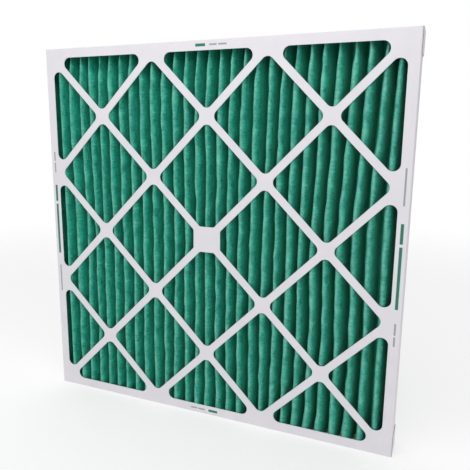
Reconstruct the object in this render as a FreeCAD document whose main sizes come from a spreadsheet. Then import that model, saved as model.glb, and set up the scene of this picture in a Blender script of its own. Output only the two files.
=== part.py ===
import FreeCAD, Part
import Sketcher
import os
from math import atan2, floor, sqrt

# Pleated panel air filter, millimetres. X is across, Y is the air's way through, from the front
# face at -Y to the rear face at +Y, and Z is up. The origin is the middle of the edge it stands on.

os.makedirs("parts", exist_ok=True)
doc = FreeCAD.newDocument("pleated_panel_filter")

# Driving sizes
SIZES = [
    ("panel_width", 594.0, "across the folded frame"),
    ("panel_height", 594.0, "from the edge it stands on to the top edge"),
    ("panel_depth", 44.5, "from the front face to the rear face"),
    ("board", 0.7, "thickness of the frame board"),
    ("fold_radius", 1.2, "outside of a folded edge"),
    ("border_width", 15.0, "from the frame's edge to the lattice"),
    ("cells_wide", 3, "crossed cells of the lattice, across"),
    ("cells_high", 3, "crossed cells of the lattice, upwards"),
    ("strut_width", 11.45, "width of a diagonal strut"),
    ("opening_radius", 10.0, "rounding of the openings' corners"),
    ("pad_width", 45.4, "middle pad, between its upright edges"),
    ("pad_height", 40.3, "middle pad, between its level edges"),
    ("pad_radius", 4.0, "rounding where the pad runs into the struts"),
    ("side_flange_depth", 20.0, "front frame's left and right flanges"),
    ("edge_setback", 0.5, "from the rear face back to the front frame's flange edges"),
    ("nest_gap", 0.15, "between the two frames where one sits in the other"),
    ("tab_length", 32.0, "corner tab, along the side that it is glued to"),
    ("tab_setback", 1.8, "from a tab's edges to the folds beside it"),
    ("tab_slope", 3.0, "how far a tab narrows on each edge"),
    ("pleat_count", 29, "pleats in the pack"),
    ("side_margin", 24.6, "from a rear frame's wall to the ridge beside it"),
    ("pleat_radius", 3.2, "bend at a pleat's tip, to the middle of the media"),
    ("media_thickness", 2.2, "lofted media"),
    ("tip_gap", 0.2, "between pleat tips and the frames' boards"),
    ("leg_gap", 0.3, "from the pack's end legs to the glued tabs"),
    ("leg_setback", 2.5, "from the front board to the end legs' edges"),
    ("glue_width", 3.0, "a line of glue, along the board that it lies on"),
    ("glue_slope", 0.6, "how far a line of glue narrows on each edge"),
    ("glue_height", 1.0, "lines of glue under the ends of the pleats"),
    ("glue_gap", 0.15, "between a line of glue and the media"),
    ("glue_spacing", 12.0, "from one line of glue to the next"),
    ("glue_lines", 3, "lines of glue on each flange"),
    ("wire_size", 0.8, "grid wire, across its section"),
    ("wire_gap", 0.1, "between the media and the grid"),
    ("wire_rows", 3, "grid wires that run across the pleats"),
    ("upright_step", 4, "pleats from one upright grid wire to the next"),
    ("wire_row_inset", 98.0, "from the pack's ends to the first and last of those wires"),
    ("weld_sink", 0.2, "how far crossing wires sink into each other"),
]

sheet = doc.addObject("Spreadsheet::Sheet", "Sizes")
for row, (alias, number, meaning) in enumerate(SIZES, start=1):
    sheet.set(f"A{row}", str(number))
    sheet.setAlias(f"A{row}", alias)
    sheet.set(f"B{row}", meaning)
doc.recompute()


class Size:
    """A size with its value now and the sheet expression that gives it, so that a formula is written once."""

    def __init__(self, value, text):
        self.value = float(value)
        self.text = text

    def __add__(self, other):
        other = size(other)
        return Size(self.value + other.value, f"({self.text} + {other.text})")

    def __sub__(self, other):
        other = size(other)
        return Size(self.value - other.value, f"({self.text} - {other.text})")

    def __mul__(self, other):
        other = size(other)
        return Size(self.value * other.value, f"({self.text} * {other.text})")

    def __truediv__(self, other):
        other = size(other)
        return Size(self.value / other.value, f"({self.text} / {other.text})")

    def __neg__(self):
        return size(0) - self


def size(number):
    """A plain number, or a size as it is."""
    return number if isinstance(number, Size) else Size(number, str(number))


def root(number):
    """The square root of a size."""
    return Size(sqrt(number.value), f"sqrt({number.text})")


def whole(number):
    """A size rounded down."""
    return Size(floor(number.value), f"floor({number.text})")


def cell(alias):
    """The size that the sheet holds under an alias."""
    return Size(sheet.get(alias), f"Sizes.{alias}")


def bind(thing, name, amount):
    """Ties a property to its size."""
    thing.setExpression(name, size(amount).text)


def new_body(label):
    body = doc.addObject("PartDesign::Body", label)
    body.Label = label
    body.AllowCompound = True
    return body


def origin_part(body, role):
    """One of the body's own origin planes or axes."""
    return next(part for part in body.Origin.OriginFeatures if part.Role == role)


def new_sketch(body, name, plane, offset):
    """A sketch on a plane of the body's origin, moved along that plane's normal."""
    sketch = body.newObject("Sketcher::SketchObject", name)
    sketch.AttachmentSupport = [(origin_part(body, plane), "")]
    sketch.MapMode = "FlatFace"
    bind(sketch, ".AttachmentOffset.Base.z", offset)
    return sketch


def fix_point(sketch, line, end, place):
    """Holds one end of a line at a place given by two sizes."""
    for kind, amount in zip(("DistanceX", "DistanceY"), place):
        number = sketch.addConstraint(Sketcher.Constraint(kind, -1, 1, line, end, amount.value))
        bind(sketch, f"Constraints[{number}]", amount)


def outline(sketch, corners, bends=None):
    """A closed outline. corners are its points in turn, and bends gives the centre and radius of each side
    that is an arc, under the number of the corner where it starts."""
    bends = bends or {}
    spots = [FreeCAD.Vector(across.value, along.value, 0) for across, along in corners]
    ends = []
    for number, spot in enumerate(spots):
        following = spots[(number + 1) % len(spots)]
        if number not in bends:
            side = sketch.addGeometry(Part.LineSegment(spot, following))
            ends.append((side, 1, 2))
            continue
        centre, radius = bends[number]
        hub = FreeCAD.Vector(centre[0].value, centre[1].value, 0)
        anticlockwise = (spot - hub).cross(following - hub).z > 0
        first, last = (spot, following) if anticlockwise else (following, spot)
        turns = [atan2(point.y - hub.y, point.x - hub.x) for point in (first, last)]
        circle = Part.Circle(hub, FreeCAD.Vector(0, 0, 1), radius.value)
        side = sketch.addGeometry(Part.ArcOfCircle(circle, turns[0], turns[1]))
        ends.append((side, 1, 2) if anticlockwise else (side, 2, 1))
        wide = abs(following.x - spot.x) > abs(following.y - spot.y)
        kind, amount = ("DistanceY", centre[1]) if wide else ("DistanceX", centre[0])
        held = sketch.addConstraint(Sketcher.Constraint(kind, -1, 1, side, 3, amount.value))
        bind(sketch, f"Constraints[{held}]", amount)
    for number, (side, start, end) in enumerate(ends):
        following = ends[(number + 1) % len(ends)]
        sketch.addConstraint(Sketcher.Constraint("Coincident", side, end, following[0], following[1]))
        fix_point(sketch, side, start, corners[number])


def rectangle(sketch, low_x, high_x, low_y, high_y):
    low_x, high_x, low_y, high_y = (size(edge) for edge in (low_x, high_x, low_y, high_y))
    outline(sketch, [(low_x, low_y), (high_x, low_y), (high_x, high_y), (low_x, high_y)])


def pad(body, sketch, length, backwards=False, middle=False):
    feature = body.newObject("PartDesign::Pad", f"{sketch.Name}_pad")
    feature.Profile = sketch
    bind(feature, "Length", length)
    feature.Reversed = backwards
    feature.Midplane = middle
    return feature


def pocket(body, sketch, depth, backwards=False):
    feature = body.newObject("PartDesign::Pocket", f"{sketch.Name}_cut")
    feature.Profile = sketch
    bind(feature, "Length", depth)
    feature.Refine = False
    feature.Reversed = backwards
    return feature


def row_of(body, features, axis, length, count):
    """A row of copies along an axis, whose first and last lie a length apart."""
    feature = body.newObject("PartDesign::LinearPattern", f"{features[-1].Name}_row")
    feature.Originals = features
    feature.Direction = (origin_part(body, axis), [""])
    bind(feature, "Length", length)
    bind(feature, "Occurrences", count)
    body.Tip = feature
    return feature


def grid_of(body, features, across, up):
    """Copies along X and then Z. across and up each give the length from first to last, and the count."""
    feature = body.newObject("PartDesign::MultiTransform", f"{features[-1].Name}_grid")
    feature.Originals = features
    steps = []
    for axis, (length, count) in (("X_Axis", across), ("Z_Axis", up)):
        if count.value < 2:
            continue
        step = body.newObject("PartDesign::LinearPattern", f"{feature.Name}_{axis}")
        step.Direction = (origin_part(body, axis), [""])
        bind(step, "Length", length)
        bind(step, "Occurrences", count)
        steps.append(step)
    feature.Transformations = steps
    feature.Refine = False
    body.Tip = feature
    return feature


def mirror_across(body, features):
    """Mirrored about the plane midway between the left and right sides."""
    feature = body.newObject("PartDesign::Mirrored", f"{features[-1].Name}_mirrored")
    feature.Originals = features
    feature.MirrorPlane = (origin_part(body, "YZ_Plane"), [""])
    body.Tip = feature
    return feature


def round_edges(body, name, radius, chosen):
    """A fillet on the edges of the body's present shape for which chosen says yes."""
    doc.recompute()
    base = body.Tip
    names = [f"Edge{n}" for n, edge in enumerate(base.Shape.Edges, start=1) if chosen(edge)]
    feature = body.newObject("PartDesign::Fillet", name)
    feature.Base = (base, names)
    bind(feature, "Radius", radius)
    return feature


# The two folded frames
width = cell("panel_width")
height = cell("panel_height")
depth = cell("panel_depth")
board = cell("board")
nest = cell("nest_gap")
front_y = -depth / 2
rear_y = depth / 2
mid_height = height / 2

# Lattice: every cell is crossed by both its diagonals, which leaves diamonds with their middles on the
# lines between cells and half diamonds along the border.
cells_wide = cell("cells_wide")
cells_high = cell("cells_high")
cell_width = (width - cell("border_width") * 2) / cells_wide
cell_height = (height - cell("border_width") * 2) / cells_high
half_diagonal = root(cell_width * cell_width + cell_height * cell_height) / 2
centre_to_strut = cell_width * cell_height / 4 / half_diagonal
opened = (centre_to_strut - cell("strut_width") / 2) / centre_to_strut
reach_x = cell_width / 2 * opened
reach_z = cell_height / 2 * opened


# The openings are drawn with rounded corners, as one on the bottom border, and turned to the other sides.
# Each corner is the two ends of its arc, anticlockwise, and the arc's centre.
radius = cell("opening_radius")
side_length = root(reach_x * reach_x + reach_z * reach_z)


def turned(corner, side):
    """A corner drawn for the bottom border, turned to another side."""
    ways = {
        "bottom": lambda across, inward: (across, inward),
        "right": lambda across, inward: (-inward, across),
        "top": lambda across, inward: (-across, -inward),
        "left": lambda across, inward: (inward, -across),
    }
    return [ways[side](*place) for place in corner]


def reach_of(side):
    """Half of an opening's length along a side's border, and its reach inwards."""
    return (reach_x, reach_z) if side in ("bottom", "top") else (reach_z, reach_x)


def tip_corner(side):
    """The corner that points inwards from a side."""
    along, inward = reach_of(side)
    cut_back = radius * inward / along
    beside = cut_back * along / side_length
    step = inward - cut_back * inward / side_length
    hub = inward - radius * side_length / along
    return turned([(beside, step), (-beside, step), (size(0), hub)], side)


def diamond():
    """A full opening has four such corners."""
    return [tip_corner(side) for side in ("left", "bottom", "right", "top")]


def half_diamond(side):
    """An opening with its long side on the border."""
    along, inward = reach_of(side)
    cut_back = radius * (side_length + along) / inward
    on_border = along - cut_back
    strut_across = along - cut_back * along / side_length
    strut_inward = cut_back * inward / side_length
    start = [(on_border, size(0)), (strut_across, strut_inward), (on_border, radius)]
    end = [(-strut_across, strut_inward), (-on_border, size(0)), (-on_border, radius)]
    return [turned(start, side), tip_corner(side), turned(end, side)]


def opening(body, name, plane_offset, rear, middle, rounded, across, up):
    """Cuts one shape of opening and its copies. rounded gives its corners, each as two ends and a centre."""
    sketch = new_sketch(body, name, "XZ_Plane", plane_offset)

    def placed(place):
        return (middle[0] + place[0], middle[1] + place[1])

    corners = [placed(end) for first, last, hub in rounded for end in (first, last)]
    bends = {2 * n: (placed(hub), radius) for n, (first, last, hub) in enumerate(rounded)}
    outline(sketch, corners, bends)
    cut = pocket(body, sketch, board * 2, backwards=rear)
    grid_of(body, [cut], across, up)


def lattice(body, rear, plane_offset):
    """The openings of one frame, its middle pad and their rounded corners."""
    border = cell("border_width")
    first_x = -(cells_wide - 1) / 2 * cell_width
    first_z = mid_height - (cells_high - 1) / 2 * cell_height
    all_x = ((cells_wide - 1) * cell_width, cells_wide)
    all_z = ((cells_high - 1) * cell_height, cells_high)
    between_x = ((cells_wide - 2) * cell_width, cells_wide - 1)
    between_z = ((cells_high - 2) * cell_height, cells_high - 1)
    once = (size(0), size(1))
    rows = [
        ("beside", (first_x + cell_width / 2, first_z), diamond(), between_x, all_z),
        ("above", (first_x, first_z + cell_height / 2), diamond(), all_x, between_z),
        ("bottom", (first_x, border), half_diamond("bottom"), all_x, once),
        ("top", (first_x, height - border), half_diamond("top"), all_x, once),
        ("left", (border - width / 2, first_z), half_diamond("left"), once, all_z),
        ("right", (width / 2 - border, first_z), half_diamond("right"), once, all_z),
    ]
    for name, middle, rounded, across, up in rows:
        opening(body, f"{body.Name}_{name}", plane_offset, rear, middle, rounded, across, up)

    pad_x = cell("pad_width") / 2
    pad_z = cell("pad_height") / 2
    sketch = new_sketch(body, f"{body.Name}_middle", "XZ_Plane", plane_offset)
    rectangle(sketch, -pad_x, pad_x, mid_height - pad_z, mid_height + pad_z)
    pad(body, sketch, board, backwards=not rear)

    slack = 0.01

    def at_pad(edge):
        ends = [vertex.Point for vertex in edge.Vertexes]
        spot = ends[0]
        inside = abs(spot.x) < pad_x.value + slack and abs(spot.z - mid_height.value) < pad_z.value + slack
        along_y = (ends[0] - ends[-1]).cross(FreeCAD.Vector(0, 1, 0)).Length < slack
        return inside and along_y and len(ends) == 2

    round_edges(body, f"{body.Name}_pad_corners", cell("pad_radius"), at_pad)


def tray(label, rear, inset, flange_depth, side_depth):
    """A face board with four flanges folded from it. inset is how far it lies inside the outer frame."""
    body = new_body(label)
    plane_offset = -rear_y if rear else -front_y
    half = width / 2 - inset
    low = inset
    high = height - inset

    face = new_sketch(body, f"{label}_face", "XZ_Plane", plane_offset)
    rectangle(face, -half, half, low, high)
    pad(body, face, board, backwards=not rear)

    level = new_sketch(body, f"{label}_level_flanges", "XZ_Plane", plane_offset)
    rectangle(level, -half, half, low, low + board)
    rectangle(level, -half, half, high - board, high)
    pad(body, level, flange_depth, backwards=not rear)

    upright = new_sketch(body, f"{label}_upright_flanges", "XZ_Plane", plane_offset)
    rectangle(upright, -half, -half + board, low, high)
    rectangle(upright, half - board, half, low, high)
    pad(body, upright, side_depth, backwards=not rear)

    lattice(body, rear, plane_offset)
    return body


def corner_tabs(body, inner_x, low_y, high_y, low_z, high_z):
    """Tabs folded from the ends of the top and bottom flanges and glued flat to the side flanges."""
    length = cell("tab_length")
    slope = cell("tab_slope")
    sketch = new_sketch(body, f"{body.Name}_tabs", "YZ_Plane", inner_x)
    low_end = low_z + length
    high_end = high_z - length
    outline(sketch, [(low_y, low_z), (high_y, low_z), (high_y - slope, low_end), (low_y + slope, low_end)])
    outline(sketch, [(low_y, high_z), (low_y + slope, high_end), (high_y - slope, high_end), (high_y, high_z)])
    tabs = pad(body, sketch, board)
    mirror_across(body, [tabs])


def fold_edges(body, face_y, half_x, low, high):
    """Rounds the folds around the face and the folds of the tabs."""
    slack = 0.01

    def is_fold(edge):
        ends = [vertex.Point for vertex in edge.Vertexes]
        if len(ends) != 2:
            return False
        at_face = all(abs(point.y - face_y.value) < slack for point in ends)
        at_side = all(abs(abs(point.x) - half_x.value) < slack for point in ends)
        at_level = all(min(abs(point.z - low.value), abs(point.z - high.value)) < slack for point in ends)
        return at_face and (at_side or at_level)

    round_edges(body, f"{body.Name}_folds", cell("fold_radius"), is_fold)


tab_back = cell("tab_setback")
front_flange = depth - cell("edge_setback")
front_frame = tray("front_frame", False, size(0), front_flange, cell("side_flange_depth"))
fold_edges(front_frame, front_y, width / 2, size(0), height)
corner_tabs(front_frame, width / 2, front_y + tab_back, rear_y - cell("edge_setback") - tab_back, size(0), height)

# The rear frame sits inside the front one, with its tabs on the inside of its own flanges.
inset = board + nest
rear_flange = depth - board - nest
rear_frame = tray("rear_frame", True, inset, rear_flange, rear_flange)
fold_edges(rear_frame, rear_y, width / 2 - inset, inset, height - inset)
inner_half = width / 2 - inset - board
inner_low = inset + board
inner_high = height - inner_low
tab_front = front_y + board + nest + tab_back
corner_tabs(rear_frame, inner_half - board, tab_front, rear_y - board - tab_back, inner_low, inner_high)

# Pleated media: one pleat is drawn between the middles of two rear tips and repeated across the pack.
count = cell("pleat_count")
pitch = (inner_half - cell("side_margin")) * 2 / (count - 1)
first_ridge = -(inner_half - cell("side_margin"))
thick = cell("media_thickness")
bend = cell("pleat_radius")
outer = bend + thick / 2
inner = bend - thick / 2
wire = cell("wire_size")
wire_gap = cell("wire_gap")
tip_front = front_y + board + cell("tip_gap") + outer
tip_rear = rear_y - board - cell("tip_gap") - wire - wire_gap - outer
half_pitch = pitch / 2
tip_run = tip_rear - tip_front

# The flanks are the lines that touch a front tip on one side and a rear tip on the other. lean_x and
# lean_y point from the front tip's centre to where the right flank touches it.
tip_distance = half_pitch * half_pitch + tip_run * tip_run
flank = root(tip_distance - bend * bend * 4)
lean_x = (bend * 2 * half_pitch + tip_run * flank) / tip_distance
lean_y = (bend * 2 * tip_run - half_pitch * flank) / tip_distance
glue_stand = cell("glue_height") + cell("glue_gap")
pack_low = inner_low + glue_stand
pack_high = inner_high - glue_stand
pack_height = pack_high - pack_low


# A tip's bend is drawn with four flat sides. bend_x and bend_y point to its corner between flank and crown.
bend_length = root(lean_x * lean_x + (lean_y - 1) * (lean_y - 1))
bend_x = lean_x / bend_length
bend_y = (lean_y - 1) / bend_length


def front_half(around, side):
    """A front tip's points from its flank to its bend, at a radius around its centre, on one side."""
    return [
        (first_ridge + around * lean_x * side, tip_front + around * lean_y),
        (first_ridge + around * bend_x * side, tip_front + around * bend_y),
    ]


def rear_half(around, side):
    """The rear tip's points beside the pleat, from its crown to its flank."""
    hub = first_ridge + half_pitch * side
    return [
        (hub, tip_rear + around),
        (hub - around * bend_x * side, tip_rear - around * bend_y),
        (hub - around * lean_x * side, tip_rear - around * lean_y),
    ]


def media_side(around_front, around_rear):
    """One face of the media over one pleat, from left to right."""
    crown = [(first_ridge, tip_front - around_front)]
    left_half = rear_half(around_rear, -1) + front_half(around_front, -1)
    right_half = front_half(around_front, 1)[::-1] + rear_half(around_rear, 1)[::-1]
    return left_half + crown + right_half


media = new_body("filter_media")
pleat = new_sketch(media, "pleat", "XY_Plane", pack_low)
left = first_ridge - half_pitch
right = first_ridge + half_pitch
outline(pleat, media_side(inner, outer) + media_side(outer, inner)[::-1])
pleat_pad = pad(media, pleat, pack_height)
row_of(media, [pleat_pad], "X_Axis", pitch * (count - 1), count)

# Each end of the pack runs along the rear board and forward along the frame's side, where it is glued.
leg_edge = inner_half - board - cell("leg_gap")
leg_front = front_y + board + cell("leg_setback")
crown_rear = tip_rear + outer
legs = new_sketch(media, "end_legs", "XY_Plane", pack_low)
for side in (-1, 1):
    leg_corners = [
        (left * -side, crown_rear - thick),
        (left * -side, crown_rear),
        (leg_edge * side, crown_rear),
        (leg_edge * side, leg_front),
        ((leg_edge - thick) * side, leg_front),
        ((leg_edge - thick) * side, crown_rear - thick),
    ]
    outline(legs, leg_corners)
pad(media, legs, pack_height)

# Welded wire grid behind the media. Its rows follow the pleats, and its upright wires lie in front folds.
grid = new_body("support_grid")
near_front = inner - wire_gap
far_front = near_front - wire
near_rear = outer + wire_gap
far_rear = near_rear + wire
square_tip = lean_x + lean_y * (lean_y + 1) / lean_x
row_low = pack_low + cell("wire_row_inset") - wire / 2
row_reach = pack_height - cell("wire_row_inset") * 2
row_wire = new_sketch(grid, "row_wire", "XY_Plane", row_low)


def row_side(radius_front, radius_rear, front_step):
    """One side of a row wire from the left rear tip to the right one."""
    front_x = radius_front / lean_x - lean_y / lean_x * front_step
    rear_x = half_pitch - radius_rear * square_tip
    return [
        (left, tip_rear + radius_rear),
        (first_ridge - rear_x, tip_rear + radius_rear),
        (first_ridge - front_x, tip_front + front_step),
        (first_ridge + front_x, tip_front + front_step),
        (first_ridge + rear_x, tip_rear + radius_rear),
        (right, tip_rear + radius_rear),
    ]


outline(row_wire, row_side(near_front, near_rear, size(0)) + row_side(far_front, far_rear, wire)[::-1])
row_pad = pad(grid, row_wire, wire)
grid_of(grid, [row_pad], (pitch * (count - 1), count), (row_reach, cell("wire_rows")))
upright_wire = new_sketch(grid, "upright_wire", "XY_Plane", pack_low)
upright_y = tip_front + wire - cell("weld_sink")
rectangle(upright_wire, first_ridge - wire / 2, first_ridge + wire / 2, upright_y, upright_y + wire)
upright_pad = pad(grid, upright_wire, pack_height)
upright_step = cell("upright_step")
upright_gaps = whole((count - 1) / upright_step)
row_of(grid, [upright_pad], "X_Axis", pitch * upright_step * upright_gaps, upright_gaps + 1)


# Lines of glue on the flanges, under the pleats' ends and behind the end legs.
glue_reach = cell("glue_spacing") * (cell("glue_lines") - 1)
glue_half = cell("glue_width") / 2
glue_slope = cell("glue_slope")


def glue_section(sketch, flange, rise, upright):
    """The section of the first line, standing on its flange. upright is set where the flange is a side one."""
    start_y = -glue_reach / 2
    corners = [
        (start_y - glue_half, flange),
        (start_y + glue_half, flange),
        (start_y + glue_half - glue_slope, flange + rise),
        (start_y - glue_half + glue_slope, flange + rise),
    ]
    outline(sketch, [corner[::-1] for corner in corners] if upright else corners)


def level_glue(label, flange, side):
    body = new_body(label)
    section = new_sketch(body, f"{label}_section", "YZ_Plane", -leg_edge)
    glue_section(section, flange, cell("glue_height") * side, False)
    line = pad(body, section, leg_edge * 2)
    row_of(body, [line], "Y_Axis", glue_reach, cell("glue_lines"))


def side_glue(label, side):
    """Side lines end short of the glued tabs."""
    body = new_body(label)
    tab_end = inner_low + cell("tab_length") + cell("tab_setback")
    section = new_sketch(body, f"{label}_section", "XY_Plane", tab_end)
    rise = (inner_half - leg_edge - cell("glue_gap")) * -side
    glue_section(section, inner_half * side, rise, True)
    line = pad(body, section, height - tab_end * 2)
    row_of(body, [line], "Y_Axis", glue_reach, cell("glue_lines"))


level_glue("bottom_glue_lines", inner_low, 1)
level_glue("top_glue_lines", inner_high, -1)
side_glue("left_glue_lines", -1)
side_glue("right_glue_lines", 1)

doc.recompute()
failed = [thing.Name for thing in doc.Objects if "Invalid" in thing.State or "Error" in thing.State]
if failed:
    raise RuntimeError("these objects failed: " + ", ".join(failed))

bodies = [thing for thing in doc.Objects if thing.TypeId == "PartDesign::Body"]
for body in bodies:
    if body.Shape.isNull() or not body.Shape.isValid():
        raise RuntimeError(f"{body.Label} has no valid shape")
for body in bodies:
    body.Shape.exportStep(f"parts/{body.Label}.step")
    print(body.Label, "solids", len(body.Shape.Solids), "volume", round(body.Shape.Volume))
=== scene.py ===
"""Pleated panel air filter: two nested die-cut board trays, a folded nonwoven pack and its wire grid."""
import math
import bpy
import numpy as np
from mathutils import Matrix, Vector


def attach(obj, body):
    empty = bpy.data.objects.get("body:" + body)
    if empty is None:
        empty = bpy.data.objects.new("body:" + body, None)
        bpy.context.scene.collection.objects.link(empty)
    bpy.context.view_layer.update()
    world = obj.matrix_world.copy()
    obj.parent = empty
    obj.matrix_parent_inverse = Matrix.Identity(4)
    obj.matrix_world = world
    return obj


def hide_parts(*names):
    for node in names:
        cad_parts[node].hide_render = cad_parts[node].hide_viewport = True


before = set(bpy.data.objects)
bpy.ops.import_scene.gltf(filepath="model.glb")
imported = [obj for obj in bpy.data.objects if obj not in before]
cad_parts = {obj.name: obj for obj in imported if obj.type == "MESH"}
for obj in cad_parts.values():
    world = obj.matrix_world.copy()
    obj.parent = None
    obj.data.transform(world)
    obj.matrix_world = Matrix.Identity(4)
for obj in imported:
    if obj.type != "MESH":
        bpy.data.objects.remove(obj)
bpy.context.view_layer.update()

# Rear frame
# The inner tray of the two: white clay-coated chipboard, 0.7 mm thick, die-cut with the diamond openings and
# folded forward on all four sides. Its shape is the frame's own and only its finish is made here.

# MM turns millimetres into metres. The rest is in mm: the panel's middle is MID_HEIGHT up, its two faces
# lie FACE_Y before and behind it, every opening lies within FIELD of it across and upwards, and the edge of
# an ink bar fades over BLEED on either side.
MM = 0.001
MID_HEIGHT = 297
FACE_Y = 22.25
FIELD = 283
BLEED = 0.25


def linear(code):
    """An sRGB colour as #rrggbb turned to linear light: straight at its low end, else a power of 2.4."""
    parts = [int(code[i : i + 2], 16) / 255 for i in (1, 3, 5)]
    return [p / 12.92 if p <= 0.04045 else ((p + 0.055) / 1.055) ** 2.4 for p in parts] + [1.0]


def add(tree, kind, inputs=None, **settings):
    """Adds a node with its settings. inputs gives each input by its name or number, as a value or as another
    node's output."""
    node = tree.nodes.new(kind)
    for name, value in settings.items():
        setattr(node, name, value)
    for name, value in (inputs or {}).items():
        if isinstance(value, bpy.types.NodeSocket):
            tree.links.new(value, node.inputs[name])
        else:
            node.inputs[name].default_value = value
    return node


def new_material(name):
    """An empty material, its node tree and its output node."""
    made = bpy.data.materials.new(name)
    made.use_nodes = True
    made.node_tree.nodes.clear()
    return made, made.node_tree, add(made.node_tree, "ShaderNodeOutputMaterial")


def coated_board(name, face_y, marks=()):
    """Clay-coated chipboard, die-cut and creased. The coat is matte and even to the eye, with faint clouds
    where the fibres lie thicker. The inside of the tray is the grey uncoated back, and the die leaves the
    core bare on the edges of the openings. face_y is where the coated face lies, in mm. marks are plain
    bars of printing ink on it: middle x, middle z, width and height in mm, and colour."""
    made, tree, end = new_material(name)
    place = add(tree, "ShaderNodeTexCoord").outputs["Object"]
    clouds = add(tree, "ShaderNodeTexNoise", {"Vector": place, "Scale": 1 / (30 * MM), "Detail": 3.0})
    grain = add(tree, "ShaderNodeTexNoise", {"Vector": place, "Scale": 1 / (1.6 * MM), "Detail": 4.0,
                                             "Roughness": 0.6})
    shade = add(tree, "ShaderNodeMapRange", {"Value": clouds.outputs["Fac"],
                                             "From Min": 0.3, "From Max": 0.7})
    coat = add(tree, "ShaderNodeMix", {0: shade.outputs[0], 6: linear("#e4e1e8"), 7: linear("#e9e6eb")},
               data_type="RGBA")
    fine = add(tree, "ShaderNodeMapRange", {"Value": grain.outputs["Fac"], "From Min": 0.25, "From Max": 0.75,
                                            "To Min": 0.97, "To Max": 1.0})
    paper = add(tree, "ShaderNodeMix", {0: 1.0, 6: coat.outputs[2], 7: fine.outputs[0]},
                data_type="RGBA", blend_type="MULTIPLY")
    # The inside of a tray is every face whose normal points back towards the middle of the panel.
    normal = add(tree, "ShaderNodeNewGeometry").outputs["True Normal"]
    outwards = add(tree, "ShaderNodeVectorMath", {0: place, 1: (0, 0, MID_HEIGHT * MM)}, operation="SUBTRACT")
    side = add(tree, "ShaderNodeVectorMath", {0: outwards.outputs[0], 1: normal}, operation="DOT_PRODUCT")
    inside = add(tree, "ShaderNodeMath", {0: side.outputs["Value"], 1: 0.0}, operation="LESS_THAN")
    back = add(tree, "ShaderNodeMix", {0: grain.outputs["Fac"], 6: linear("#8f8a80"), 7: linear("#b3ada2")},
               data_type="RGBA")
    paper = add(tree, "ShaderNodeMix", {0: inside.outputs[0], 6: paper.outputs[2], 7: back.outputs[2]},
                data_type="RGBA")
    # The openings' cut walls face sideways and lie within FIELD.
    split = add(tree, "ShaderNodeSeparateXYZ", {0: place})
    facing = add(tree, "ShaderNodeSeparateXYZ", {0: normal})
    side_on = add(tree, "ShaderNodeMath", {0: facing.outputs["Y"]}, operation="ABSOLUTE")
    side_on = add(tree, "ShaderNodeMath", {0: side_on.outputs[0], 1: 0.5}, operation="LESS_THAN")
    height = add(tree, "ShaderNodeMath", {0: split.outputs["Z"], 1: MID_HEIGHT * MM}, operation="SUBTRACT")
    across = [add(tree, "ShaderNodeMath", {0: value}, operation="ABSOLUTE").outputs[0]
              for value in (split.outputs["X"], height.outputs[0])]
    widest = add(tree, "ShaderNodeMath", {0: across[0], 1: across[1]}, operation="MAXIMUM")
    in_field = add(tree, "ShaderNodeMath", {0: widest.outputs[0], 1: FIELD * MM}, operation="LESS_THAN")
    cut = add(tree, "ShaderNodeMath", {0: side_on.outputs[0], 1: in_field.outputs[0]}, operation="MULTIPLY")
    colour = add(tree, "ShaderNodeMix", {0: cut.outputs[0], 6: paper.outputs[2], 7: linear("#dcdbde")},
                 data_type="RGBA").outputs[2]
    on_face = add(tree, "ShaderNodeMath", {0: split.outputs["Y"], 1: face_y * MM, 2: 0.1 * MM},
                  operation="COMPARE")
    for middle_x, middle_z, width, high, ink in marks:
        sides = []
        for value, middle, length in ((split.outputs["X"], middle_x, width),
                                      (split.outputs["Z"], middle_z, high)):
            away = add(tree, "ShaderNodeMath", {0: value, 1: middle * MM}, operation="SUBTRACT")
            away = add(tree, "ShaderNodeMath", {0: away.outputs[0]}, operation="ABSOLUTE")
            sides.append(add(tree, "ShaderNodeMapRange", {"Value": away.outputs[0],
                                                          "From Min": (length / 2 - BLEED) * MM,
                                                          "From Max": (length / 2 + BLEED) * MM,
                                                          "To Min": 1.0, "To Max": 0.0}))
        bar = add(tree, "ShaderNodeMath", {0: sides[0].outputs[0], 1: sides[1].outputs[0]},
                  operation="MULTIPLY")
        bar = add(tree, "ShaderNodeMath", {0: bar.outputs[0], 1: on_face.outputs[0]}, operation="MULTIPLY")
        colour = add(tree, "ShaderNodeMix", {0: bar.outputs[0], 6: colour, 7: linear(ink)},
                     data_type="RGBA").outputs[2]
    bump = add(tree, "ShaderNodeBump", {"Strength": 0.25, "Distance": 0.05 * MM,
                                        "Height": grain.outputs["Fac"]})
    board = add(tree, "ShaderNodeBsdfPrincipled", {"Base Color": colour, "Roughness": 0.62, "IOR": 1.45,
                                                   "Specular IOR Level": 0.35, "Normal": bump.outputs[0]})
    tree.links.new(board.outputs[0], end.inputs[0])
    return made


def finish_node(node, material):
    """Gives a frame part its finish."""
    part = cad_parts[node]
    part.data.materials.clear()
    part.data.materials.append(material)


finish_node("rear_frame", coated_board("Clay-coated chipboard, inner tray", FACE_Y))

# Folded media
# One length of green polyester nonwoven, 2.2 mm thick, thermally bonded, scored and folded into 29 pleats.
# Its two ends run along the inner tray's board and forward along its side walls, where they are glued.

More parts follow.
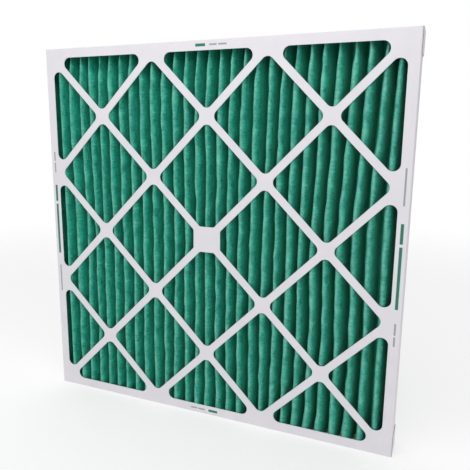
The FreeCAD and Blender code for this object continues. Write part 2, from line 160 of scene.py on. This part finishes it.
# All in mm. PACK_ gives the pack's outer limits, BEND_ the radius of a bend at the media's middle and TIP_
# the y of that bend's centre. LEG_ places the middle of the two ends: their x, the y of the rear board's
# stretch, the y of their front edge, and the radius of the corner between.
PLEATS = 29
FIRST_RIDGE = -270.85
PITCH = -2 * FIRST_RIDGE / (PLEATS - 1)
THICK = 2.2
PACK_FRONT, PACK_REAR, PACK_SIDE = -21.35, 20.45, 294.45
PACK_LOW, PACK_HIGH = 2.7, 591.3
BEND_FRONT, BEND_REAR = 3.5, 1.8
TIP_FRONT = PACK_FRONT + THICK / 2 + BEND_FRONT
TIP_REAR = PACK_REAR - THICK / 2 - BEND_REAR
LEG_X = PACK_SIDE - THICK / 2
LEG_Y = TIP_REAR + BEND_REAR
LEG_FRONT = -19.05
LEG_CORNER = 2.0
# The grid behind has a wire every MESH_STEP both ways. Its lowest level wire is FIRST_WIRE up.
MESH_STEP = 25.4
FIRST_WIRE = PACK_LOW + 5.3


def folded_line(out_front, bend_steps, flank_steps):
    """The pack's section seen from above, in mm. Each pleat is half a rear bend, a straight flank, a front
    bend, a flank and half a rear bend; a flank is the line that touches a front circle and a rear circle on
    opposite sides. out_front is how far the line lies in front of the media's middle, so that the same walk
    makes its two faces and the grid behind it."""
    radius_front, radius_rear = BEND_FRONT + out_front, BEND_REAR - out_front
    run = TIP_REAR - TIP_FRONT
    half = PITCH / 2
    lean = math.atan2(half, run) - math.asin((BEND_FRONT + BEND_REAR) / math.hypot(half, run))
    turn = math.pi / 2 - lean
    rear = np.linspace(0, turn, bend_steps // 2 + 1)
    front = np.linspace(-turn, turn, bend_steps + 1)
    along = np.linspace(0, 1, flank_steps + 1)[1:-1]
    # foot is the left half of a pleat's rear bend, tip its front bend and flank what lies between them.
    foot = np.stack([-half + radius_rear * np.sin(rear), TIP_REAR + radius_rear * np.cos(rear)], -1)
    tip = np.stack([radius_front * np.sin(front), TIP_FRONT - radius_front * np.cos(front)], -1)
    flank = foot[-1] + (tip[0] - foot[-1]) * along[:, None]
    one = np.concatenate([foot, flank, tip, (flank * [-1, 1])[::-1], (foot * [-1, 1])[::-1]])
    ridges = FIRST_RIDGE + PITCH * np.arange(PLEATS)
    whole = one[None] + np.stack([ridges, ridges * 0], -1)[:, None]
    return np.concatenate([whole[:-1, :-1].reshape(-1, 2), whole[-1]])


def left_end(side_x, back_y, front_y, corner):
    """The pack's left end seen from above, in mm: a straight line from the front edge back along the side
    wall, then a quarter circle of radius corner to the rear board, where the first pleat takes over."""
    wall_y = np.linspace(front_y, back_y - corner, 5)
    wall = np.stack([np.full(len(wall_y), side_x), wall_y], -1)
    angle = np.linspace(math.pi, math.pi / 2, 5)[1:]
    bend = np.stack([side_x + corner * (1 + np.cos(angle)), back_y - corner * (1 - np.sin(angle))], -1)
    return np.concatenate([wall, bend])


# Each bulge: how far the pleats are pushed to the right, its middle and reach across, its middle and reach
# upwards, all in mm.
BULGES = [
    (6.5, -232, 21, 297, 163),
    (-6.3, 200, 80, 315, 120),
    (-4.8, 44, 56, 255, 175),
    (2.9, -64, 120, 308, 190),
    (1.4, 136, 300, 545, 40),
    (-7.2, 158, 85, -50, 230),
    (-3.0, -215, 75, 600, 45),
]
# Beyond HELD from the middle, the glued ends of the pack stay in line. The pleats let go over the next 30 mm.
HELD = 285


def drift(x, z, step_x, step_z, seed):
    """Smooth chance unevenness between about -1 and 1: a grid of seeded draws, one every step_x and step_z
    mm, with the value between them blended by 3t^2 - 2t^3 both ways. The grid is 700 mm wide and high, from
    x -350, z -50."""
    draws = np.random.default_rng(seed).uniform(-1, 1, (int(700 / step_x) + 3, int(700 / step_z) + 3))
    across, up = (x + 350) / step_x, (z + 50) / step_z
    column, row = np.floor(across).astype(int), np.floor(up).astype(int)
    blend_x, blend_z = (t * t * (3 - 2 * t) for t in (across - column, up - row))
    low = draws[column, row] * (1 - blend_x) + draws[column + 1, row] * blend_x
    high = draws[column, row + 1] * (1 - blend_x) + draws[column + 1, row + 1] * blend_x
    return low * (1 - blend_z) + high * blend_z


def beside_ridge(x):
    """How far a place lies to the right of the nearest ridge of the unsettled pack, in mm."""
    return (x - FIRST_RIDGE + PITCH / 2) % PITCH - PITCH / 2


def settle(x, y, z):
    """Where the pack lies once it has been folded and glued by hand, in mm. Its pleats crowd to one side or
    the other in broad bulges, each a bell curve across and upwards. The last ones lean right at the top,
    and every ridge wanders a little on its own and is pressed in here and there, most at the front and not
    at all at the rear."""
    hold = np.clip((HELD - np.abs(x)) / 30, 0, 1)
    lean = 6.0 * np.exp(-((x - 262) / 40) ** 2) * np.clip(z / MID_HEIGHT - 1, 0, 1) ** 1.5
    bulge = sum(far * np.exp(-(((x - at_x) / wide) ** 2) - ((z - at_z) / high) ** 2)
                for far, at_x, wide, at_z, high in BULGES)
    # The ridges wander by about 1 mm at each of three scales. front is 1 on a ridge and 0 at the rear.
    wander = 1.1 * drift(x, z, 17, 90, 11) + 0.9 * drift(x, z, 13, 34, 12) + 0.8 * drift(x, z, 9, 15, 13)
    front = np.clip((TIP_REAR - y) / (TIP_REAR - TIP_FRONT), 0, 1)
    # They are pressed in by up to 0.8 mm in shallow dents, and by as much again in small crumples.
    dent = 0.8 * np.clip(0.5 + 0.9 * drift(x, z, 15, 26, 14), 0, 1) + 0.8 * np.abs(drift(x, z, 8, 14, 15))
    # The glued top ends and the last pleats on the right are set back 6.5 mm, which also draws their crowns
    # together. At the bottom the pack stands on its ends, which spreads them.
    back = np.exp(-(((PACK_HIGH - z) / 34) ** 2)) + 0.6 * np.exp(-(((HELD - x) / 26) ** 2))
    back = np.clip(back, 0, 1)
    foot = np.exp(-(((z - PACK_LOW) / 22) ** 2))
    narrow = (0.3 * foot - 0.55 * back) * beside_ridge(x) * front
    return (x + narrow * hold + (bulge + lean + wander * front) * hold,
            y + (dent + 6.5 * back) * front**2 * hold)


def quads(rows, columns, round_columns=False):
    """The faces of a grid of points numbered row by row, four corners each. round_columns joins its last
    column to its first."""
    row = np.arange(rows - 1)[:, None]
    column = np.arange(columns if round_columns else columns - 1)[None]
    following = (column + 1) % columns
    corners = [row * columns + column, row * columns + following,
               (row + 1) * columns + following, (row + 1) * columns + column]
    return np.stack(np.broadcast_arrays(*corners), -1).reshape(-1, 4)


def make_piece(name, points, faces, material, attributes=None):
    """A mesh of points in mm and faces that rides on the one body, shaded smooth except where its faces turn
    by more than 50 degrees. attributes gives each point a number or a vector by name."""
    mesh = bpy.data.meshes.new(name)
    mesh.from_pydata((points * MM).tolist(), [], faces.tolist())
    mesh.polygons.foreach_set("use_smooth", np.ones(len(mesh.polygons), bool))
    for key, values in (attributes or {}).items():
        kind, field = ("FLOAT", "value") if values.ndim == 1 else ("FLOAT_VECTOR", "vector")
        made = mesh.attributes.new(key, kind, "POINT")
        made.data.foreach_set(field, values.astype(np.float32).ravel())
    mesh.update()
    mesh.set_sharp_from_angle(angle=math.radians(50))
    mesh.materials.append(material)
    piece = bpy.data.objects.new(name, mesh)
    bpy.context.scene.collection.objects.link(piece)
    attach(piece, "root")
    return piece


def nonwoven(name):
    """Dyed, thermally bonded polyester fleece. Its fibres lie mostly across the pleats, so it shows fine
    level streaks. Folding leaves soft creases along the pleats, and the uneven loft broad blotches. The
    ridges are paler on their left shoulders by a painted highlight, and the deep valleys a fuller green by
    painted fill light."""
    made, tree, end = new_material(name)
    cloth = add(tree, "ShaderNodeAttribute", attribute_name="cloth").outputs["Vector"]
    painted_crest_highlight = add(tree, "ShaderNodeAttribute", attribute_name="painted_crest_highlight").outputs["Fac"]
    fold = add(tree, "ShaderNodeAttribute", attribute_name="fold").outputs["Fac"]
    # Fibres are 0.03 mm across, too fine to show, so the streaks are drawn 3.4 mm high and 5 mm long.
    lay = add(tree, "ShaderNodeMapping", {"Vector": cloth, "Scale": (1 / 5.0, 1 / 3.4, 1.0)})
    streaks = add(tree, "ShaderNodeTexNoise", {"Vector": lay.outputs[0], "Scale": 1.0, "Detail": 4.0,
                                               "Roughness": 0.65})
    spread = add(tree, "ShaderNodeMapping", {"Vector": cloth, "Scale": (1 / 14.0, 1 / 18.0, 1.0)})
    blotches = add(tree, "ShaderNodeTexNoise", {"Vector": spread.outputs[0], "Scale": 1.0, "Detail": 5.0})
    along = add(tree, "ShaderNodeMapping", {"Vector": cloth, "Scale": (1 / 4.5, 1 / 17.0, 1.0)})
    creases = add(tree, "ShaderNodeTexNoise", {"Vector": along.outputs[0], "Scale": 1.0, "Detail": 3.0,
                                               "Roughness": 0.6})
    # The three have weights that add up to 1, and give both how light the dye looks and the surface's relief.
    mixed = add(tree, "ShaderNodeMath", {0: streaks.outputs["Fac"], 1: 0.36}, operation="MULTIPLY")
    mixed = add(tree, "ShaderNodeMath", {0: creases.outputs["Fac"], 1: 0.3, 2: mixed.outputs[0]},
                operation="MULTIPLY_ADD")
    mixed = add(tree, "ShaderNodeMath", {0: blotches.outputs["Fac"], 1: 0.34, 2: mixed.outputs[0]},
                operation="MULTIPLY_ADD")
    depth = add(tree, "ShaderNodeMapRange", {"Value": mixed.outputs[0], "From Min": 0.39, "From Max": 0.61})
    dyed = add(tree, "ShaderNodeMix", {0: depth.outputs[0], 6: linear("#0c7563"), 7: linear("#2fb296")},
               data_type="RGBA")
    # A paler green for the painted highlight on the ridges, with the same patches as the dye.
    pale = add(tree, "ShaderNodeMix", {0: depth.outputs[0], 6: linear("#3e9884"), 7: linear("#81c9b7")},
               data_type="RGBA")
    # Deep in the folds a painted fill light, standing in for light bounced between the pleats, makes the
    # green fuller, a little lighter and more even.
    loft = add(tree, "ShaderNodeMix", {0: fold, 6: dyed.outputs[2], 7: linear("#0fa184")}, data_type="RGBA")
    colour = add(tree, "ShaderNodeMix", {0: painted_crest_highlight, 6: loft.outputs[2], 7: pale.outputs[2]}, data_type="RGBA")
    # Loose fibres lie on the surface as small pale flecks, about 1.2 mm long where they show.
    tilted = add(tree, "ShaderNodeMapping", {"Vector": cloth, "Rotation": (0, 0, 0.9),
                                             "Scale": (1 / 2.6, 1 / 1.1, 1.0)})
    fleck = add(tree, "ShaderNodeTexNoise", {"Vector": tilted.outputs[0], "Scale": 1.0, "Detail": 2.0,
                                             "Roughness": 0.7})
    loose = add(tree, "ShaderNodeMapRange", {"Value": fleck.outputs["Fac"],
                                             "From Min": 0.64, "From Max": 0.74,
                                             "To Min": 0.0, "To Max": 0.45})
    colour = add(tree, "ShaderNodeMix", {0: loose.outputs[0], 6: colour.outputs[2], 7: linear("#9fd6c6")},
                 data_type="RGBA")
    # The level wires glued behind hold the fleece out a little, a real relief in the bump. In places a
    # painted highlight along them makes faint pale lines, where the raised fleece would catch the light.
    level = add(tree, "ShaderNodeSeparateXYZ", {0: cloth})
    step = add(tree, "ShaderNodeMath", {0: level.outputs["Y"], 1: FIRST_WIRE - MESH_STEP / 2},
               operation="SUBTRACT")
    step = add(tree, "ShaderNodeMath", {0: step.outputs[0], 1: MESH_STEP}, operation="FLOORED_MODULO")
    step = add(tree, "ShaderNodeMath", {0: step.outputs[0], 1: MESH_STEP / 2}, operation="SUBTRACT")
    step = add(tree, "ShaderNodeMath", {0: step.outputs[0]}, operation="ABSOLUTE")
    line = add(tree, "ShaderNodeMapRange", {"Value": step.outputs[0], "From Min": 0.2, "From Max": 1.6,
                                            "To Min": 1.0, "To Max": 0.0})
    patch = add(tree, "ShaderNodeMapRange", {"Value": blotches.outputs["Fac"],
                                             "From Min": 0.47, "From Max": 0.62})
    line = add(tree, "ShaderNodeMath", {0: line.outputs[0], 1: patch.outputs[0]}, operation="MULTIPLY")
    outer = add(tree, "ShaderNodeMapRange", {"Value": fold, "From Min": 0.0, "From Max": 0.25,
                                             "To Min": 0.45, "To Max": 0.0})
    faint = add(tree, "ShaderNodeMath", {0: line.outputs[0], 1: outer.outputs[0]}, operation="MULTIPLY")
    colour = add(tree, "ShaderNodeMix", {0: faint.outputs[0], 6: colour.outputs[2], 7: linear("#6cc6ae")},
                 data_type="RGBA")
    relief = add(tree, "ShaderNodeMath", {0: line.outputs[0], 1: 0.1, 2: mixed.outputs[0]},
                 operation="MULTIPLY_ADD")
    bump = add(tree, "ShaderNodeBump", {"Strength": 1.0, "Distance": 2.0 * MM, "Height": relief.outputs[0]})
    fleece = add(tree, "ShaderNodeBsdfPrincipled",
                 {"Base Color": colour.outputs[2], "Roughness": 0.9, "IOR": 1.5, "Specular IOR Level": 0.05,
                  "Sheen Weight": 0.1, "Sheen Roughness": 0.5, "Sheen Tint": linear("#dff5ea"),
                  "Normal": bump.outputs[0]})
    tree.links.new(fleece.outputs[0], end.inputs[0])
    return made


def media_section(out_front):
    """One face of the media from the left end to the right one, seen from above. out_front is how far it lies
    in front of the media's middle."""
    wave = folded_line(out_front, bend_steps=8, flank_steps=2)
    end = left_end(-LEG_X + out_front, LEG_Y - out_front, LEG_FRONT, LEG_CORNER - out_front)
    return np.concatenate([end, wave, (end * [-1, 1])[::-1]])


def length_along(line):
    """How far along a line of points each of them lies: the sum of the straight steps up to it."""
    return np.concatenate([[0], np.cumsum(np.hypot(*np.diff(line, axis=0).T))])


front_face, rear_face = media_section(THICK / 2), media_section(-THICK / 2)
developed = length_along((front_face + rear_face) / 2)
# A row goes round the whole section, along the front face and back along the rear one, and 80 rows go up
# the pack. Two more sets of faces close its lower and upper edges.
loop = np.concatenate([front_face, rear_face[::-1]])
count, rows = len(front_face), 80
x, z = np.meshgrid(loop[:, 0], np.linspace(PACK_LOW, PACK_HIGH, rows))
y = np.broadcast_to(loop[:, 1], x.shape)
x, y = settle(x, y, z)
points = np.stack([x, y, z], -1).reshape(-1, 3)
faces = quads(rows, 2 * count, round_columns=True)
at = np.arange(count - 1)
low = np.stack([at, 2 * count - 1 - at, 2 * count - 2 - at, at + 1], -1)
faces = np.concatenate([faces, low, low[:, ::-1] + (rows - 1) * 2 * count])
# cloth is the place on the sheet laid flat, in mm, so that streaks and blotches run with the fabric.
length = np.concatenate([developed, developed[::-1]])
cloth = np.stack([np.broadcast_to(length, x.shape), z, np.zeros_like(z)], -1).reshape(-1, 3)
# This mask is 1 on a painted highlight along each ridge, centred 22 degrees round to the left of the ridge's
# foremost line, on the shoulder turned to the light. The pack's two ends, beyond 280 mm, have none.
is_front = np.arange(2 * count) < count
around = np.degrees(np.arctan2(beside_ridge(loop[:, 0]), TIP_FRONT - loop[:, 1]))
painted_crest_highlight = np.exp(-(((around + 22) / 36) ** 2)) * is_front * (np.abs(loop[:, 0]) < 280)
painted_crest_highlight = np.broadcast_to(painted_crest_highlight, x.shape).ravel()
# fold rises from 0 at y -13 mm, near the ridges, to 1 at y 3 mm, deep between them. It lays the
# painted fill light on the valleys.
inwards = np.clip((loop[:, 1] + 13) / 16, 0, 1)
fold = np.broadcast_to(inwards**2 * (3 - 2 * inwards) * is_front, x.shape).ravel()
media = make_piece("folded_media", points, faces, nonwoven("Dyed lofted polyester nonwoven"),
                   {"cloth": cloth, "painted_crest_highlight": painted_crest_highlight, "fold": fold})
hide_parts("filter_media")

# Wire grid
# Galvanised steel wire, 0.8 mm thick, welded at 25.4 mm each way and glued to the media's rear face before
# folding, so its level wires follow every pleat and its upright wires run along the pleats.

# WIRE is how thick the wires are and GLUE how far they stand off the media, in mm.
WIRE = 0.8
GLUE = 0.1


def tube(paths, radius):
    """Round wires of six sides along many paths with the same number of points. Each path point carries a
    ring: two directions square to the path there, times the cosine and sine of the turn, times the radius.
    Two faces of four corners close each end."""
    step = np.gradient(paths, axis=1)
    step /= np.linalg.norm(step, axis=-1, keepdims=True)
    up = np.where(np.abs(step[..., 2:]) > 0.9, [1.0, 0, 0], [0, 0, 1.0])
    first = np.cross(up, step)
    first /= np.linalg.norm(first, axis=-1, keepdims=True)
    second = np.cross(step, first)
    turn = np.arange(6)[:, None] * math.pi / 3
    ring = first[..., None, :] * np.cos(turn) + second[..., None, :] * np.sin(turn)
    rings = paths[..., None, :] + ring * radius
    stations = paths.shape[1]
    cap = np.array([[5, 4, 3, 2], [5, 2, 1, 0]])
    one = np.concatenate([quads(stations, 6, round_columns=True), cap, cap[:, ::-1] + 6 * (stations - 1)])
    faces = one[None] + 6 * stations * np.arange(len(paths))[:, None, None]
    return rings.reshape(-1, 3), faces.reshape(-1, 4)


def galvanised(name):
    """Galvanised steel wire: a dull grey metal with a soft, slightly cloudy shine from the zinc."""
    made, tree, end = new_material(name)
    place = add(tree, "ShaderNodeTexCoord").outputs["Object"]
    cloud = add(tree, "ShaderNodeTexNoise", {"Vector": place, "Scale": 1 / (3 * MM), "Detail": 3.0})
    zinc = add(tree, "ShaderNodeMix", {0: cloud.outputs["Fac"], 6: linear("#9a9c9d"), 7: linear("#c9cbcc")},
               data_type="RGBA")
    dull = add(tree, "ShaderNodeMapRange", {"Value": cloud.outputs["Fac"], "To Min": 0.32, "To Max": 0.55})
    steel = add(tree, "ShaderNodeBsdfPrincipled", {"Base Color": zinc.outputs[2], "Metallic": 1.0,
                                                   "Roughness": dull.outputs[0]})
    tree.links.new(steel.outputs[0], end.inputs[0])
    return made


def settled_wires(x, y, z):
    """Wires that follow the settled pack. x, y and z place them on the unsettled one, in mm, and stretch to
    one array of wires by points."""
    x, y, z = np.broadcast_arrays(x, y, z)
    x, y = settle(x, y, z)
    return tube(np.stack([x, y, z], -1), WIRE / 2)


# The level wires end 10 mm below the pack's top, and the upright ones 2 mm inside its lower and upper edges.
grid_line = folded_line(-(THICK / 2 + GLUE + WIRE / 2), bend_steps=6, flank_steps=2)
levels = np.arange(FIRST_WIRE, PACK_HIGH - 10, MESH_STEP)
level_points, level_faces = settled_wires(grid_line[:, 0], grid_line[:, 1], levels[:, None])
along_line = length_along(grid_line)
stations = np.arange(MESH_STEP / 2, along_line[-1], MESH_STEP)
upright_x, upright_y = (np.interp(stations, along_line, side)[:, None] for side in grid_line.T)
upright_z = np.linspace(PACK_LOW + 2, PACK_HIGH - 2, 25)
upright_points, upright_faces = settled_wires(upright_x, upright_y, upright_z)
wire_grid = make_piece("wire_grid", np.concatenate([level_points, upright_points]),
                       np.concatenate([level_faces, upright_faces + len(level_points)]),
                       galvanised("Galvanised steel wire"))
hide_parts("support_grid")

# Lines of glue
# Hot-melt adhesive, a glossy, slightly yellow white. It was laid in straight beads on the trays before the
# pack went in, and holds the pack's lower and upper edges and its two ends.
def hot_melt(name):
    """Set hot-melt glue: smooth, waxy and a little see-through, so it is glossier than the board."""
    made, tree, end = new_material(name)
    place = add(tree, "ShaderNodeTexCoord").outputs["Object"]
    flow = add(tree, "ShaderNodeTexNoise", {"Vector": place, "Scale": 1 / (6 * MM), "Detail": 2.0})
    body = add(tree, "ShaderNodeMix", {0: flow.outputs["Fac"], 6: linear("#e6e0cf"), 7: linear("#f3efe4")},
               data_type="RGBA")
    bump = add(tree, "ShaderNodeBump", {"Strength": 0.5, "Distance": 0.3 * MM, "Height": flow.outputs["Fac"]})
    wax = add(tree, "ShaderNodeBsdfPrincipled", {"Base Color": body.outputs[2], "Roughness": 0.3, "IOR": 1.48,
                                                 "Subsurface Weight": 0.1, "Subsurface Scale": 1 * MM,
                                                 "Normal": bump.outputs[0]})
    tree.links.new(wax.outputs[0], end.inputs[0])
    return made


glue = hot_melt("Hot-melt adhesive")
for side in ("bottom", "top", "left", "right"):
    finish_node(f"{side}_glue_lines", glue)

# Front frame
# The outer tray, of the same board, pushed over the inner one from the front. Tabs folded from its top and
# bottom flanges are glued to its side flanges at the corners. The print on its border is plain bars of ink.
GREEN_INK, GREY_INK = "#2f7d66", "#9aa3a1"
# Each bar: middle x, middle z, width and height in mm, and colour.
ink_bars = [
    (-10.5, 586.5, 16, 4.2, GREEN_INK), (10, 586.5, 12, 2.4, GREY_INK), (25, 586.5, 13, 2.4, GREY_INK),
    (11.5, 7.5, 16, 4.2, GREEN_INK), (-9, 7.5, 12, 2.4, GREY_INK), (-23, 7.5, 12, 2.4, GREY_INK),
    (-289.5, 418, 2.4, 15, GREY_INK), (-289.5, 399, 2.4, 17, GREY_INK),
    (-289.5, 355, 4.2, 28, GREEN_INK), (-289.5, 292, 4.2, 88, GREEN_INK), (-289.5, 202, 2.4, 48, GREY_INK),
    (289.5, 393, 2.4, 50, GREY_INK), (289.5, 330, 4.2, 28, GREEN_INK), (289.5, 268, 4.2, 88, GREEN_INK),
    (289.5, 195, 2.4, 17, GREY_INK), (289.5, 177, 2.4, 14, GREY_INK),
]
finish_node("front_frame", coated_board("Clay-coated chipboard, printed outer tray", -FACE_Y, ink_bars))

# Studio
# A plain pale floor that fades into the white room, soft light from above and in front, and the camera.
def studio_floor():
    """A round white floor, 2.3 m in radius and 0.2 mm under the panel, its edge fading out so that no horizon
    shows."""
    made, tree, end = new_material("White studio floor")
    place = add(tree, "ShaderNodeTexCoord").outputs["Object"]
    away = add(tree, "ShaderNodeVectorMath", {0: place}, operation="LENGTH")
    fade = add(tree, "ShaderNodeMapRange", {"Value": away.outputs["Value"], "From Min": 0.7, "From Max": 2.2,
                                            "To Min": 1.0, "To Max": 0.0}, interpolation_type="SMOOTHSTEP")
    paint = add(tree, "ShaderNodeBsdfPrincipled", {"Base Color": linear("#bcbcbc"), "Roughness": 0.8,
                                                   "Specular IOR Level": 0.1, "Alpha": fade.outputs[0],
                                                   "Emission Color": linear("#ffffff"),
                                                   "Emission Strength": 0.48})
    tree.links.new(paint.outputs[0], end.inputs[0])
    rings, spokes = 12, 64
    radius = np.linspace(0.001, 2.3, rings)[:, None]
    angle = np.linspace(0, 2 * math.pi, spokes + 1)[:-1]
    level = np.full((rings, spokes), -0.2 * MM)
    points = np.stack([radius * np.cos(angle), radius * np.sin(angle), level], -1).reshape(-1, 3)
    mesh = bpy.data.meshes.new("studio_floor")
    mesh.from_pydata(points.tolist(), [], quads(rings, spokes, round_columns=True)[:, ::-1].tolist())
    mesh.materials.append(made)
    floor = bpy.data.objects.new("studio_floor", mesh)
    bpy.context.scene.collection.objects.link(floor)


studio_floor()
scene = bpy.context.scene
world = bpy.data.worlds.new("White room")
scene.world = world
world.use_nodes = True
sky = world.node_tree
sky.nodes.clear()
# The room is brightest behind the panel, as in the photograph, and darker in front and to the right.
ways = add(sky, "ShaderNodeSeparateXYZ", {0: add(sky, "ShaderNodeTexCoord").outputs["Generated"]})
far = add(sky, "ShaderNodeMapRange", {"Value": ways.outputs["X"], "From Min": 0.15, "From Max": 0.6,
                                      "To Min": 1.0, "To Max": 0.5}, interpolation_type="SMOOTHSTEP")
behind = add(sky, "ShaderNodeMapRange", {"Value": ways.outputs["Y"], "From Min": -0.35, "From Max": 0.25,
                                         "To Min": 0.55, "To Max": far.outputs[0]},
             interpolation_type="SMOOTHSTEP")
glow = add(sky, "ShaderNodeBackground", {"Color": linear("#ffffff"), "Strength": behind.outputs[0]})
add(sky, "ShaderNodeOutputWorld", {0: glow.outputs[0]})


def soft_lamp(name, place, target, size, power):
    """A square soft box that looks at a point."""
    data = bpy.data.lights.new(name, "AREA")
    data.size, data.energy = size, power
    lamp = bpy.data.objects.new(name, data)
    lamp.location = place
    lamp.rotation_mode = "QUATERNION"
    lamp.rotation_quaternion = (Vector(target) - Vector(place)).to_track_quat("-Z", "Y")
    scene.collection.objects.link(lamp)


soft_lamp("middle_soft_box", place=(0, -0.6, 1.2), target=(0, 0, 0.3), size=0.9, power=5.4)
soft_lamp("right_soft_box", place=(0.7, -0.8, 1.9), target=(0, 0, 0.3), size=0.9, power=2.5)

# The camera has the photograph's place, lens and turn. right, up and ahead are directions as it sees them.
camera_data = bpy.data.cameras.new("camera")
camera_data.lens, camera_data.sensor_width = 39.80, 36
camera = bpy.data.objects.new("camera", camera_data)
right, up, ahead = (0.9231, 0.3844, 0.0108), (-0.0836, 0.1731, 0.9814), (-0.3754, 0.9068, -0.1919)
turned = Matrix([right, up, [-a for a in ahead]]).transposed()
camera.rotation_mode = "QUATERNION"
camera.rotation_quaternion = turned.to_quaternion()
camera.location = (0.3444, -0.7385, 0.4603)
scene.collection.objects.link(camera)
scene.camera = camera
scene.view_settings.view_transform = "Standard"
